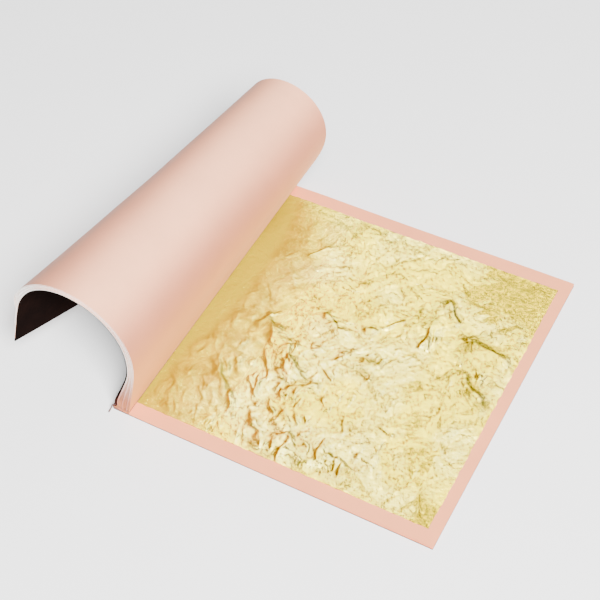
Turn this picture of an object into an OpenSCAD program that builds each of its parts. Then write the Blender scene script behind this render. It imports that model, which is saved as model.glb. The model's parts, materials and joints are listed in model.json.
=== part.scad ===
// A booklet of gold leaf lying open. The front cover and the turned tissue sheets lean back from
// the gutter and curl over in one loose roll, wide at the near end and tight at the far end.
// The remaining sheets lie flat on the back cover with one leaf of gold in view.
// Origin: the middle of the back cover's underside. +X points from the bound edge to the fore
// edge, +Y along the bound edge from the near end to the far end, and +Z up. Millimetres.

/* [Booklet] */
// Width of a page, from the bound edge to the fore edge
page_w = 88; // [70:1:110]
// Length of a page along the bound edge
page_l = 88; // [70:1:110]
// Width of the bound margin, from the bound edge to the gutter
margin_w = 4.5; // [4:0.1:6]
// Number of leaves of gold, each between two sheets of tissue
leaf_count = 25; // [22:1:27]
// The leaf that lies in view, counted from the front cover
open_leaf = 21; // [18:1:21]

/* [Tissue, gold and card] */
// Thickness of a tissue sheet
tissue_t = 0.03; // [0.02:0.005:0.04]
// Thickness that stands for a leaf of gold, which is really far thinner
leaf_t = 0.005; // [0.004:0.001:0.01]
// Bare tissue beyond the leaf at the near and far ends
end_border = 4; // [2:0.5:8]
// Bare tissue beyond the leaf at the fore edge
fore_border = 3; // [2:0.5:8]
// Bare tissue between the gutter and the leaf
gutter_border = 0.5; // [0.5:0.1:2]
// Thickness of the card of both covers
cover_t = 0.25; // [0.15:0.05:0.4]
// Clearance between two layers that lie flat
flat_clearance = 0.015; // [0.01:0.005:0.03]
// Clearance between two bound strips, which the stitches press together
bound_clearance = 0.005; // [0.005:0.005:0.01]

/* [Turned pages] */
// Slope of the turned pages where they leave the gutter, in degrees
rise = 65.5; // [60:0.5:72]
// How far they turn over after that, in degrees
curl = 195; // [150:1:205]
// Distance from the gutter at which the curl begins, at the near end
near_start = 3; // [2:0.5:8]
// Distance from the gutter at which the curl would end, at the near end
near_stop = 92; // [84:1:112]
// Distance from the gutter at which the curl begins, at the far end
far_start = 17; // [8:0.5:22]
// Distance from the gutter at which the curl ends, at the far end
far_stop = 72.5; // [66:0.5:84]
// Clearance between two layers of the turned block, which is a little fanned
turned_clearance = 0.027; // [0.02:0.001:0.04]

/* [Folds] */
// Space between a turned page and its bound strip
turned_fold_gap = 0.1; // [0.05:0.05:0.2]
// Space between a flat page and the gutter
flat_fold_gap = 0.4; // [0.3:0.1:0.5]

/* [Thread] */
// Diameter of the binding thread
thread_d = 0.3; // [0.2:0.05:0.4]
// Distance of the needle holes from the bound edge
hole_inset = 1.6; // [1:0.1:1.8]
// Spacing of the stitches
stitch_pitch = 2.2; // [2:0.1:6]
// Distance of the first and last stitch from the ends of the booklet
stitch_inset = 0.5; // [0.4:0.1:3]
// Clearance between the thread and the faces that it lies along
thread_clearance = 0.01; // [0.01:0.01:0.05]
// How far the loose end of the thread reaches out past the near end
tail_reach = 1.5; // [1:0.1:4]

/* [Hidden] */
sheet_count = leaf_count + 1;
bends = 24;
half_bend = curl / bends / 2;
chord_per_arc = sin(half_bend) / (half_bend * PI / 180);
straight_tail = page_w;

bound_x = -page_w / 2;
fore_x = page_w / 2;
near_y = -page_l / 2;
far_y = page_l / 2;
gutter_x = bound_x + margin_w;
panel_w = page_w - margin_w;

flat_pitch = tissue_t + leaf_t + 2 * flat_clearance;
bound_pitch = tissue_t + bound_clearance;
turned_pitch = tissue_t + leaf_t + 2 * turned_clearance;
gutter_z = cover_t + flat_clearance + (sheet_count - open_leaf) * flat_pitch + tissue_t / 2;
cover_depth = (open_leaf - 1) * turned_pitch + tissue_t / 2 + turned_clearance + cover_t / 2;
cover_strip_z = gutter_z + (open_leaf - 1) * bound_pitch + tissue_t / 2 + bound_clearance;

thread_r = thread_d / 2;
thread_sides = 6;
hole_x = bound_x + hole_inset;
outside_x = bound_x - thread_r - thread_clearance;
thread_low_z = thread_r + thread_clearance;
thread_high_z = cover_strip_z + cover_t + thread_r + thread_clearance;
stitch_count = floor((page_l - 2 * stitch_inset) / stitch_pitch) + 1;

tissue_colour = [0.93, 0.76, 0.71];
gold_colour = [0.95, 0.82, 0.36];
card_colour = [0.14, 0.10, 0.09];
thread_colour = [0.34, 0.22, 0.20];

function two_digits(k) = str(k < 10 ? "0" : "", k);
function tissue_name(k) = str("tissue_", two_digits(k));
function leaf_name(k) = str("gold_leaf_", two_digits(k));

// Undersides of the flat sheets and leaves, and depths of the turned ones inside the curl
function sheet_z(k) = cover_t + flat_clearance + (sheet_count - k) * flat_pitch;
function leaf_z(k) = sheet_z(k + 1) + tissue_t + flat_clearance;
function sheet_depth(k) = (open_leaf - k) * turned_pitch;
function leaf_depth(k) = sheet_depth(k) - turned_pitch / 2;
function turned(k) = k <= open_leaf;

// The inverse of the smooth step 3t^2 - 2t^3, so that equal steps of slope give the stations
function unease(share) = 0.5 - sin(asin(1 - 2 * share) / 3);

// The turned pages are flat facets between straight rulings. Ruling 0 is the gutter, ruling 1 the
// start of the curl, and the facet after the last bend is a straight tail. A facet has the same
// slope at its near and far ends, so it is flat, and sheets at different depths are parallel.
function ruling_slope(j) = rise + curl * min(max(j - 1, 0), bends) / bends;
function facet_slope(j) = (ruling_slope(j) + ruling_slope(j + 1)) / 2;
function station(start, stop, j) = start + (stop - start) * unease((j - 1) / bends);
function facet_w(start, stop, j) =
    j == 0 ? start
    : j > bends ? straight_tail
    : (station(start, stop, j + 1) - station(start, stop, j)) * chord_per_arc;

function rulings(start, stop, y) = [
    for (
        j = 0, p = [gutter_x, y, gutter_z];
        j <= bends + 2;
        p = p + facet_w(start, stop, j) * [cos(facet_slope(j)), 0, sin(facet_slope(j))],
        j = j + 1
    ) p
];
near_rulings = rulings(near_start, near_stop, near_y);
far_rulings = rulings(far_start, far_stop, far_y);

// Distance from the gutter to each ruling along a sheet at a depth inside the curl
function reaches(start, stop, depth) = [
    for (
        j = 0, s = 0;
        j <= bends + 2;
        s = s + facet_w(start, stop, j) - (j == 0 || j > bends ? 0 : 2 * depth * sin(half_bend)),
        j = j + 1
    ) s
];
function between(a, b, share) = a * (1 - share) + b * share;

// A spot on the roll: facet j, share v of the way from the near to the far end, share t of the
// way across the facet
function ruling_point(j, v, depth) =
    between(near_rulings[j], far_rulings[j], v)
    + depth * [-sin(ruling_slope(j)), 0, cos(ruling_slope(j))];
function roll_point(spot, depth) = between(
    ruling_point(spot[0], spot[1], depth),
    ruling_point(spot[0] + 1, spot[1], depth),
    spot[2]
);

// The facet that holds a distance from the gutter, and its share of the way across that facet
function facet_at(distances, s) = len([for (d = distances) if (d < s) d]) - 1;
function share_at(distances, s, j) = (s - distances[j]) / (distances[j + 1] - distances[j]);

// Pairs of near and far spots that cover a sheet from s0 to s1 and from v0 to v1, with one last
// spot at the far corner of the free edge
function sheet_spots(depth, s0, s1, v0, v1) =
    let (
        near_s = reaches(near_start, near_stop, depth),
        far_s = reaches(far_start, far_stop, depth),
        low_s = between(near_s, far_s, v0),
        high_s = between(near_s, far_s, v1),
        near_j = facet_at(low_s, s1),
        far_j = facet_at(high_s, s1),
        near_t = share_at(low_s, s1, near_j),
        far_t = share_at(high_s, s1, far_j)
    )
    concat(
        [[[0, v0, share_at(low_s, s0, 0)], [0, v1, share_at(high_s, s0, 0)]]],
        [for (j = [1:1:near_j]) [[j, v0, 0], [j, v1, 0]]],
        [[[near_j, v0, near_t], [near_j, v1, near_t]]],
        [
            for (j = [near_j + 1:1:far_j])
                [[j, (near_s[j] - s1) / (near_s[j] - far_s[j]), 0], [j, v1, 0]]
        ],
        [[[far_j, v1, far_t]]]
    );

// Two triangles for each four-sided face
function quad(a, b, c, d) = [[a, b, c], [a, c, d]];

// A sheet of the turned block, thickness t about its depth, from s0 to s1 and from y0 to y1
module rolled_sheet(depth, t, s0, s1, y0, y1) {
    spots = sheet_spots(depth, s0, s1, (y0 - near_y) / page_l, (y1 - near_y) / page_l);
    last = len(spots) - 2;
    points = [
        for (c = [0:last + 1], e = [depth - t / 2, depth + t / 2], spot = spots[c])
            roll_point(spot, e)
    ];
    // Each pair gives near and far points on the outside, then near and far points inside
    tip = 4 * (last + 1);
    faces = concat(
        [
            for (c = [0:last - 1]) let (a = 4 * c)
                each concat(
                    quad(a, a + 4, a + 5, a + 1),
                    quad(a + 3, a + 7, a + 6, a + 2),
                    quad(a + 2, a + 6, a + 4, a),
                    quad(a + 1, a + 5, a + 7, a + 3)
                )
        ],
        quad(0, 1, 3, 2),
        [[tip - 4, tip, tip - 3], [tip - 1, tip + 1, tip - 2]],
        quad(tip - 2, tip + 1, tip, tip - 4),
        quad(tip - 3, tip, tip + 1, tip - 1)
    );
    polyhedron(points = points, faces = faces);
}

// A sheet that lies flat, from x0 to x1 and from y0 to y1, with its underside at z
module flat_sheet(z, t, x0, x1, y0, y1) {
    translate([x0, y0, z])
        cube([x1 - x0, y1 - y0, t]);
}

module back_cover() {
    color(card_colour)
        flat_sheet(0, cover_t, bound_x, fore_x, near_y, far_y);
}

// The front cover is cut from its bound strip along the fold, like every page
module front_cover() {
    color(card_colour)
        rolled_sheet(
            cover_depth, cover_t, turned_fold_gap, panel_w + cover_depth * sin(rise), near_y, far_y
        );
}

module cover_strip() {
    inner_face = cover_depth + cover_t / 2;
    color(card_colour)
        flat_sheet(
            cover_strip_z, cover_t,
            bound_x, gutter_x - inner_face * sin(rise) - turned_fold_gap, near_y, far_y
        );
}

function strip_z(k) = turned(k) ? gutter_z - tissue_t / 2 + (open_leaf - k) * bound_pitch : sheet_z(k);
function strip_end(k) = gutter_x - turned_fold_gap - (turned(k) ? sheet_depth(k) * sin(rise) : 0);

module bound_strips() {
    color(tissue_colour)
        for (k = [1:sheet_count])
            flat_sheet(strip_z(k), tissue_t, bound_x, strip_end(k), near_y, far_y);
}

module tissue(k) {
    color(tissue_colour)
        if (turned(k))
            rolled_sheet(
                sheet_depth(k), tissue_t,
                turned_fold_gap, panel_w + sheet_depth(k) * sin(rise), near_y, far_y
            );
        else
            flat_sheet(sheet_z(k), tissue_t, gutter_x + flat_fold_gap, fore_x, near_y, far_y);
}

// A leaf lies between sheet k and sheet k + 1
module gold_leaf(k) {
    color(gold_colour)
        if (k < open_leaf)
            rolled_sheet(
                leaf_depth(k), leaf_t, gutter_border, panel_w - fore_border,
                near_y + end_border, far_y - end_border
            );
        else
            flat_sheet(
                leaf_z(k), leaf_t, gutter_x + gutter_border, fore_x - fore_border,
                near_y + end_border, far_y - end_border
            );
}

function unit(v) = v / norm(v);

// Each stitch goes down through the stack, out under the back cover, up the bound edge and over
// to the next hole. The loose end hangs over the near end down to the table.
first_stitch_y = near_y + stitch_inset;
function stitch_points(y) = [
    [hole_x, y, thread_high_z],
    [hole_x, y, thread_low_z],
    [outside_x, y, thread_low_z],
    [outside_x, y, thread_high_z]
];
over_y = near_y - thread_r - thread_clearance;
tail_x = bound_x + thread_r;
thread_path = concat(
    [
        [tail_x - thread_d, near_y - tail_reach, thread_low_z],
        [tail_x, over_y, thread_low_z + thread_high_z / 2],
        [tail_x, over_y, thread_high_z]
    ],
    [for (i = [0:stitch_count - 1]) each stitch_points(first_stitch_y + i * stitch_pitch)]
);

// The tube's ring at a bend lies in the plane that halves the bend, so each run keeps its section
function run(i) = unit(thread_path[i + 1] - thread_path[i]);
function bend_normal(i) = unit(run(i - 1) + run(i));
function slid(p, direction, through, normal) =
    p + direction * (((through - p) * normal) / (direction * normal));
function first_ring() =
    let (side = unit(cross(run(0), [0, 0, 1])), up = cross(side, run(0)))
    [
        for (i = [0:thread_sides - 1])
            thread_path[0]
            + thread_r * (side * cos(i * 360 / thread_sides) + up * sin(i * 360 / thread_sides))
    ];
function ring_after(ring, i) =
    let (normal = i + 2 < len(thread_path) ? bend_normal(i + 1) : run(i))
    [for (p = ring) slid(p, run(i), thread_path[i + 1], normal)];
thread_rings = [
    for (
        i = 0, ring = first_ring();
        i < len(thread_path);
        ring = i + 1 < len(thread_path) ? ring_after(ring, i) : ring,
        i = i + 1
    ) ring
];

module binding_thread() {
    n = thread_sides;
    last = len(thread_rings) - 1;
    points = [for (ring = thread_rings) each ring];
    faces = concat(
        [
            for (r = [0:last - 1], i = [0:n - 1])
                each quad(
                    r * n + i, (r + 1) * n + i, (r + 1) * n + (i + 1) % n, r * n + (i + 1) % n
                )
        ],
        [for (i = [1:n - 2]) [0, i, i + 1]],
        [for (i = [1:n - 2]) [last * n, last * n + i + 1, last * n + i]]
    );
    color(thread_colour)
        polyhedron(points = points, faces = faces);
}

back_cover();
front_cover();
cover_strip();
bound_strips();
binding_thread();
for (k = [1:sheet_count])
    tissue(k);
for (k = [1:leaf_count])
    gold_leaf(k);
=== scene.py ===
import json
import math

import bpy
import numpy as np
from bpy.props import FloatProperty, FloatVectorProperty, IntProperty, PointerProperty
from mathutils import Matrix, Vector


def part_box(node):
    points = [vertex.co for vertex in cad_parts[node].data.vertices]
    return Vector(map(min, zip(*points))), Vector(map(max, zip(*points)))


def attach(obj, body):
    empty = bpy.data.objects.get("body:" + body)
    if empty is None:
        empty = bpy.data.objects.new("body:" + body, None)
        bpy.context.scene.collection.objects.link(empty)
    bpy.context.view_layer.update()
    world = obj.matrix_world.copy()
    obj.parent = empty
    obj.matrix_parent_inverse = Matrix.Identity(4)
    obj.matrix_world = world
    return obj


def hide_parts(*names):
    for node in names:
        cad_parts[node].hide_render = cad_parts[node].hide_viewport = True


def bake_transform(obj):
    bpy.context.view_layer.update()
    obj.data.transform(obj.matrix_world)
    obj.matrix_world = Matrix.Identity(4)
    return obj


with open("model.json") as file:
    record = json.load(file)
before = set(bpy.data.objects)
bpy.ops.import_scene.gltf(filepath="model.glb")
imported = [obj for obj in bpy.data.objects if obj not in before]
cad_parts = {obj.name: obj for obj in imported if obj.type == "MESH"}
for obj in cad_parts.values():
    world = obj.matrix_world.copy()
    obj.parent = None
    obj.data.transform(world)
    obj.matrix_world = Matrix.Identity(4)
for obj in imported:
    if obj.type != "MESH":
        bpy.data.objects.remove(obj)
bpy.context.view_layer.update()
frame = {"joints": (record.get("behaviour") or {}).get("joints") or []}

bl_info = {
    "name": "Gold Leaf Booklet",
    "version": (1, 0, 0),
    "blender": (4, 5, 0),
    "location": "View3D > Sidebar > Leaf Booklet",
    "description": "An open booklet of gold leaf with its turned pages curled back in a loose roll",
    "category": "Object",
}

MM = 0.001
SHEETS = 26
OPEN_LEAF = 21
TISSUES = [f"tissue_{k:02d}" for k in range(1, SHEETS + 1)]
LEAVES = [f"gold_leaf_{k:02d}" for k in range(1, SHEETS)]

CARD_LOW, CARD_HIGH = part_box("back_cover")
BOUND_X = CARD_LOW.x / MM
FORE_X = CARD_HIGH.x / MM
NEAR_Y = CARD_LOW.y / MM
FAR_Y = CARD_HIGH.y / MM
PAGE_L = FAR_Y - NEAR_Y
GUTTER_X = frame["joints"][0]["pos_m"][0] / MM
GUTTER_Z = frame["joints"][0]["pos_m"][2] / MM


# ---- sizes and colours that a user would change

def size(name, about, default, low=0.0, high=0.2):
    return FloatProperty(name=name, description=about, default=default, min=low, max=high,
                         precision=5, unit="LENGTH", subtype="DISTANCE")


def colour(name, about, default):
    return FloatVectorProperty(name=name, description=about, default=default, min=0, max=1,
                               size=3, subtype="COLOR")


class BookletSizes(bpy.types.PropertyGroup):
    """Sizes of the booklet's pieces."""

    page_w: size("Page width", "Width of a page with its bound margin", 0.088)
    tissue_t: size("Tissue thickness", "Thickness of a tissue sheet as drawn", 0.000074)
    leaf_t: size("Leaf thickness", "Thickness of a hidden gold leaf as drawn", 0.000012)
    card_t: size("Card thickness", "Thickness of the covers", 0.00025)
    block_t: size("Block thickness", "Thickness of the turned block along the roll", 0.00189)
    block_root_t: size("Block thickness at the gutter", "Thickness of the splayed block", 0.00366)
    splay_run: size("Splay length", "Length over which the block thins to its full roll", 0.020)
    wave: size("Sheet waves", "Height of the slow waves in the turned sheets", 0.00012)
    corner_lift: size("Corner lift", "How far the corners of the open page lift", 0.0006)
    wrinkle: size("Wrinkle height", "Height of the wrinkles in the leaf in view", 0.00055)
    fold: size("Fold height", "Height of the main folds in the leaf in view", 0.0010)
    thread_d: size("Thread diameter", "Diameter of the binding thread", 0.00037)
    stitch_pitch: size("Stitch spacing", "Distance between two stitches", 0.0022)


class BookletColours(bpy.types.PropertyGroup):
    """Colours of the booklet's finishes."""

    tissue: colour("Open tissue", "Colour of the flat tissue pages", (0.84, 0.30, 0.14))
    # Painted light: the outside of the roll is a paler, lit copy of the open tissue's colour.
    tissue_turned_painted_lit: colour("Turned tissue", "Colour of the outside of the roll", (0.89, 0.42, 0.245))
    tissue_edge: colour("Tissue edge", "Colour of the cut edges of the sheets", (1.0, 0.96, 0.90))
    gold: colour("Gold", "Colour of the gold where it is smooth", (1.0, 0.81, 0.03))
    # Painted shade: the colour mixed into the gold where shade is painted on its folds, hollows,
    # far corner and slopes facing the roll, and where the roll's reflection is painted near the
    # gutter.
    gold_painted_shade: colour("Deep gold", "Colour of the gold in folds and at the gutter",
                      (0.42, 0.31, 0.001))
    # Painted highlight: the colour of the gold on slopes that face away from the roll, and in broad
    # patches at random.
    gold_painted_highlight: colour("Pale gold", "Colour of the gold on its raised, lit parts",
                      (1.0, 0.90, 0.21))
    # Painted reflection of the roll: the colour of the gold in the less metallic band beside the
    # gutter.
    gold_painted_reflection: colour("Satin gold", "Colour of the smooth gold beside the gutter",
                       (0.50, 0.41, 0.002))
    card: colour("Card", "Colour of the covers", (0.006, 0.0036, 0.0032))
    card_worn: colour("Worn card", "Colour of the covers where they are rubbed",
                      (0.018, 0.008, 0.006))
    thread: colour("Thread", "Colour of the binding thread", (0.090, 0.030, 0.028))
    floor: colour("Floor", "Colour of the studio floor", (0.93, 0.93, 0.93))


class StudioSettings(bpy.types.PropertyGroup):
    """The photograph's camera and the studio light."""

    azimuth: FloatProperty(name="Azimuth", description="Camera angle round the booklet",
                           default=math.radians(31.6), subtype="ANGLE")
    elevation: FloatProperty(name="Elevation", description="Camera angle above the table",
                             default=math.radians(50.54), subtype="ANGLE")
    roll: FloatProperty(name="Roll", description="Tilt of the camera",
                        default=math.radians(-4.06), subtype="ANGLE")
    distance: size("Distance", "Distance from the camera to the point it looks at", 0.366, 0.1, 2)
    lens: FloatProperty(name="Lens", description="Focal length for a 36 mm wide frame, in mm",
                        default=82.74)
    room: FloatProperty(name="Room light", description="Strength of the light all round",
                        default=0.30)
    key: FloatProperty(name="Key light", description="Power of the large soft light, in watts",
                       default=44.0)
    seed: IntProperty(name="Seed", description="Seed for everything that varies", default=7)


# ---- curves and noise

def ease(x):
    t = np.clip(x, 0, 1)
    return t * t * (3 - 2 * t)


def between(a, b, share):
    return a * (1 - share) + b * share


def grid(first, second):
    """Two arrays that hold every pair of the values given."""
    return np.meshgrid(first, second, indexing="ij")


def turned_by(angle, x, y):
    """The parts of x and y along a direction and across it."""
    return x * math.cos(angle) + y * math.sin(angle), -x * math.sin(angle) + y * math.cos(angle)


def gradient_noise(x, y, seed):
    """Smooth noise from about -1 to 1 with features about one unit across."""
    turns = np.random.default_rng(seed).uniform(0, 2 * np.pi, (256, 256))
    ix, iy = np.floor(x).astype(int), np.floor(y).astype(int)
    fx, fy = x - ix, y - iy
    total = 0
    for dx in (0, 1):
        for dy in (0, 1):
            turn = turns[(iy + dy) & 255, (ix + dx) & 255]
            push = np.cos(turn) * (fx - dx) + np.sin(turn) * (fy - dy)
            wx = 1 - np.abs(fx - dx)
            wy = 1 - np.abs(fy - dy)
            total = total + push * ease(wx) * ease(wy)
    return total * 1.5


# The roll: a heading that turns along the sheet, from the gutter to the free edge. Each pair gives
# the near end and the far end: slope at the gutter, turn, start and end of the turn. Angles are in
# degrees and lengths in mm.
RISE = (75.4, 63.1)
CURL = (178.1, 228.3)
CURL_START = (11.63, 13.35)
CURL_END = (83.42, 80.6)
FOOT_BEND = 0.75
NEAR_FLARE = 0.55
FLARE_SHARE = 0.3      # share of the booklet's length over which the near end flares
FLARE_RUN = 3.0        # distance from the gutter at which the flare is full
FREE_END_LOSS = 1.45
PRESS_START = 71.5     # distance from the gutter at which the sheets start to close up
PRESS_RUN = 7.0
BUNCHES = 3
BUNCHING = 0.055
SPREAD_RUN = 30        # distance from the gutter at which the bunches have eased
CUT_SHUFFLE = 0.10     # how far the turned sheets lie out of line with each other
LEAF_MARGIN = 4        # border of tissue at the two ends of a turned leaf
LEAF_START = 5.5       # distance from the gutter at which a turned leaf starts
LEAF_END_GAP = 3.0     # distance from a turned leaf to the free edge of its tissue
ROWS, FINE_ROWS = 96, 130
STEP = 0.25
STATIONS = np.arange(0, 100 + STEP, STEP)


def roll_lines(v):
    """Points and headings of the outermost turned sheet at STATIONS, for each share v."""
    v = np.asarray(v)[None, :]
    s = STATIONS[:, None]
    start = between(CURL_START[0], CURL_START[1], v)
    end = between(CURL_END[0], CURL_END[1], v)
    turned = ease((s - start) / (end - start))
    heading = np.radians(between(RISE[0], RISE[1], v) + between(CURL[0], CURL[1], v) * turned)
    mid = (heading[1:] + heading[:-1]) / 2
    zero = np.zeros((1, heading.shape[1]))
    x = GUTTER_X + np.vstack([zero, np.cumsum(np.cos(mid) * STEP, axis=0)])
    z = GUTTER_Z + np.vstack([zero, np.cumsum(np.sin(mid) * STEP, axis=0)])
    return x, z, heading


COLUMNS = 41
END_SHARES = np.linspace(0, 1, COLUMNS)
ROLL = roll_lines(END_SHARES)


def block_depth(s, v):
    """Thickness of the turned block at a distance from the gutter, in mm."""
    sizes = bpy.context.scene.booklet_sizes
    full, root = sizes.block_t / MM, sizes.block_root_t / MM
    flare = NEAR_FLARE * (1 - ease(v / FLARE_SHARE)) * ease(s / FLARE_RUN)
    return full + (root - full + flare) * (1 - ease(s / (sizes.splay_run / MM)))


def pressed(s, v):
    """Thickness that the block loses towards its free edge, where the sheets close up, in mm."""
    return FREE_END_LOSS * ease((s - PRESS_START) / PRESS_RUN) * (1 - 0.5 * v)


def bunched(share, s):
    """The sheets keep to a few bunches near the gutter and spread evenly along the roll."""
    eased = 1 - 0.55 * ease(s / SPREAD_RUN)
    loose = share + BUNCHING * np.sin(share * 2 * BUNCHES * np.pi) * eased
    return np.clip(loose, 0, 1)


def slow_wave(s, v):
    """Slow waves that all the turned sheets share, none of them at the gutter."""
    sizes = bpy.context.scene.booklet_sizes
    seed = bpy.context.scene.booklet_studio.seed
    wave = (gradient_noise(s / 26, v * 2.6, seed + 11)
            + 0.5 * gradient_noise(s / 11, v * 6, seed + 12))
    return sizes.wave / MM * wave * ease(s / 14)


def turned_sheet(share, thickness, s_from, length, y_from, y_to, rows, end_shift=0.0):
    """Outer and inner grids of a sheet in the turned block, in mm, and the pattern's lengths.

    share is the sheet's place in the block, from 0 outside to 1 inside. length is measured along
    the sheet from the bound edge, and s_from from the gutter along the block."""
    x, z, heading = ROLL
    s = STATIONS[:, None]
    v = END_SHARES[None, :]
    loss = pressed(s, v)
    depth = bunched(share, s) * (block_depth(s, v) - loss) + loss
    turn = np.gradient(heading, STEP, axis=0)
    run = np.clip(1 - turn * depth, 0.05, 1)
    own = np.vstack([np.zeros((1, x.shape[1])), np.cumsum((run[1:] + run[:-1]) / 2 * STEP, axis=0)])
    base = GUTTER_X - BOUND_X - depth[0] * np.sin(heading[0])
    wave = slow_wave(s + np.zeros_like(x), v + np.zeros_like(x))
    v_from, v_to = (y_from - NEAR_Y) / PAGE_L, (y_to - NEAR_Y) / PAGE_L
    shares = np.linspace(v_from, v_to, COLUMNS)
    grids = []
    for offset in (-thickness / 2, thickness / 2):
        surface = np.zeros((rows, COLUMNS, 3))
        for c in range(COLUMNS):
            s_to = np.interp(length - base[c], own[:, c], STATIONS)
            stops = s_from + (s_to - s_from) * np.linspace(0, 1, rows)
            total = depth[:, c] + wave[:, c] + offset
            px = x[:, c] - total * np.sin(heading[:, c])
            pz = z[:, c] + total * np.cos(heading[:, c])
            surface[:, c, 0] = np.interp(stops, STATIONS, px)
            surface[:, c, 2] = np.interp(stops, STATIONS, pz)
            if s_from < 0:
                bend_foot(surface[:, c], stops, heading[0, c], px[0], pz[0])
        for row in surface:
            for axis in (0, 2):
                row[:, axis] = np.interp(shares, END_SHARES, row[:, axis])
        surface[:, :, 1] = NEAR_Y + shares[None, :] * PAGE_L + end_shift
        grids.append(surface)
    along = np.linspace(s_from, length - 4, rows)
    return grids[0], grids[1], along


def bend_foot(line, stops, slope, foot_x, foot_z):
    """Bends a sheet smoothly from its bound strip into the rise, in the first rows of a column."""
    reach = FOOT_BEND
    fine = np.linspace(-reach, reach, 41)
    angle = slope * ease((fine + reach) / (2 * reach))
    mid = (angle[1:] + angle[:-1]) / 2
    step = fine[1] - fine[0]
    bx = np.concatenate([[0], np.cumsum(np.cos(mid) * step)])
    bz = np.concatenate([[0], np.cumsum(np.sin(mid) * step)])
    end_x, end_z = foot_x + reach * math.cos(slope), foot_z + reach * math.sin(slope)
    bx, bz = bx + end_x - bx[-1], bz + end_z - bz[-1]
    inside = stops < reach
    line[inside, 0] = np.interp(stops[inside], fine, bx)
    line[inside, 2] = np.interp(stops[inside], fine, bz)
    before = stops < -reach
    line[before, 0] = bx[0] + (stops[before] + reach)
    line[before, 2] = bz[0]


# ---- meshes

def new_piece(name, vertices, faces, materials, face_material=None, uv=None):
    mesh = bpy.data.meshes.new(name)
    mesh.from_pydata([tuple(p) for p in np.asarray(vertices) * MM], [], faces)
    for m in materials:
        mesh.materials.append(m)
    mesh.polygons.foreach_set("use_smooth", np.ones(len(mesh.polygons), bool))
    if face_material is not None:
        mesh.polygons.foreach_set("material_index", np.asarray(face_material, np.int32))
        sharpen_rim(mesh, np.asarray(face_material))
    if uv is not None:
        layer = mesh.uv_layers.new(name="pattern")
        corners = read(mesh.loops, "vertex_index")
        layer.data.foreach_set("uv", (np.asarray(uv)[corners] * MM).ravel())
    mesh.validate()
    mesh.update()
    return linked(name, mesh)


def linked(name, data):
    """A new object in the scene that holds the data."""
    piece = bpy.data.objects.new(name, data)
    bpy.context.scene.collection.objects.link(piece)
    return piece


def read(items, key):
    """One whole number of every item."""
    values = np.zeros(len(items), np.int32)
    items.foreach_get(key, values)
    return values


def sharpen_rim(mesh, face_material):
    """Edges of the rim faces are sharp, so the broad faces keep their own shading."""
    edge_of_loop = read(mesh.loops, "edge_index")
    totals = read(mesh.polygons, "loop_total")
    loop_faces = np.repeat(np.arange(len(totals)), totals)
    rim = face_material[loop_faces] > 0
    sharp = np.zeros(len(mesh.edges), bool)
    sharp[edge_of_loop[rim]] = True
    mesh.edges.foreach_set("use_edge_sharp", sharp)


def sheet_faces(rows, columns):
    """Faces of a thin closed sheet: an outer grid, an inner grid and the rim between them."""
    index = np.arange(rows * columns).reshape(rows, columns)
    inner = index + rows * columns
    a, b, c, d = index[:-1, :-1], index[1:, :-1], index[1:, 1:], index[:-1, 1:]
    outer_faces = np.stack([d, c, b, a], -1).reshape(-1, 4)
    inner_faces = np.stack([a, b, c, d], -1).reshape(-1, 4) + rows * columns
    rims = []
    for low, high, back in (
        (index[:, 0], inner[:, 0], False), (index[:, -1], inner[:, -1], True),
        (index[0, :], inner[0, :], True), (index[-1, :], inner[-1, :], False),
    ):
        ring = np.stack([low[:-1], low[1:], high[1:], high[:-1]], -1)
        rims.append(ring[:, ::-1] if back else ring)
    rim_faces = np.concatenate(rims)
    faces = np.concatenate([outer_faces, inner_faces, rim_faces])
    kinds = np.concatenate([
        np.zeros(len(outer_faces) + len(inner_faces), np.int32), np.ones(len(rim_faces), np.int32)
    ])
    return faces.tolist(), kinds


def sheet_piece(name, outer, inner, along, materials):
    """A closed sheet from its outer and inner grids. The inner side is the side of its normal."""
    rows, columns = outer.shape[:2]
    faces, kinds = sheet_faces(rows, columns)
    vertices = np.concatenate([outer.reshape(-1, 3), inner.reshape(-1, 3)])
    s = np.repeat(along, columns)
    uv = np.stack([s, outer[:, :, 1].ravel()], -1)
    return new_piece(name, vertices, faces, materials, kinds, np.concatenate([uv, uv]))


def open_page_height(x, y, lift_share):
    """Height that the open pages have above flat: lifted corners and slow waves, in mm."""
    sizes = bpy.context.scene.booklet_sizes
    seed = bpy.context.scene.booklet_studio.seed
    across = (x - GUTTER_X) / (FORE_X - GUTTER_X)
    along = np.abs(y) / (PAGE_L / 2)
    corner = ease(across * 1.15 - 0.35) * along ** 4
    far_gutter = (1 - ease(across * 5)) * ease(y / (PAGE_L / 2)) ** 3 * 0.6
    wave = 0.5 + 0.5 * gradient_noise(x / 31, y / 27, seed + 31)
    edge = ease(np.maximum(np.abs(y) / (PAGE_L / 2), across) * 4 - 3)
    lift = corner + far_gutter * 0.4 + 0.22 * wave * edge * ease(across * 6)
    return lift_share * lift * sizes.corner_lift / MM * ease(across * 8)


def flat_sheet(name, low, high, x_from, x_to, y_from, y_to, lift_share, materials, rows):
    """A closed sheet that lies flat, between the levels of two corners given in metres."""
    z, thickness = low.z / MM, (high.z - low.z) / MM
    x, y = grid(np.linspace(x_from, x_to, rows), np.linspace(y_from, y_to, rows))
    lift = open_page_height(x, y, lift_share) if lift_share else np.zeros_like(x)
    low = np.stack([x, y, z + lift], -1)
    high = low + np.array([0, 0, thickness])
    return sheet_piece(name, low, high, x[:, 0], materials)


# ---- materials

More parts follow.
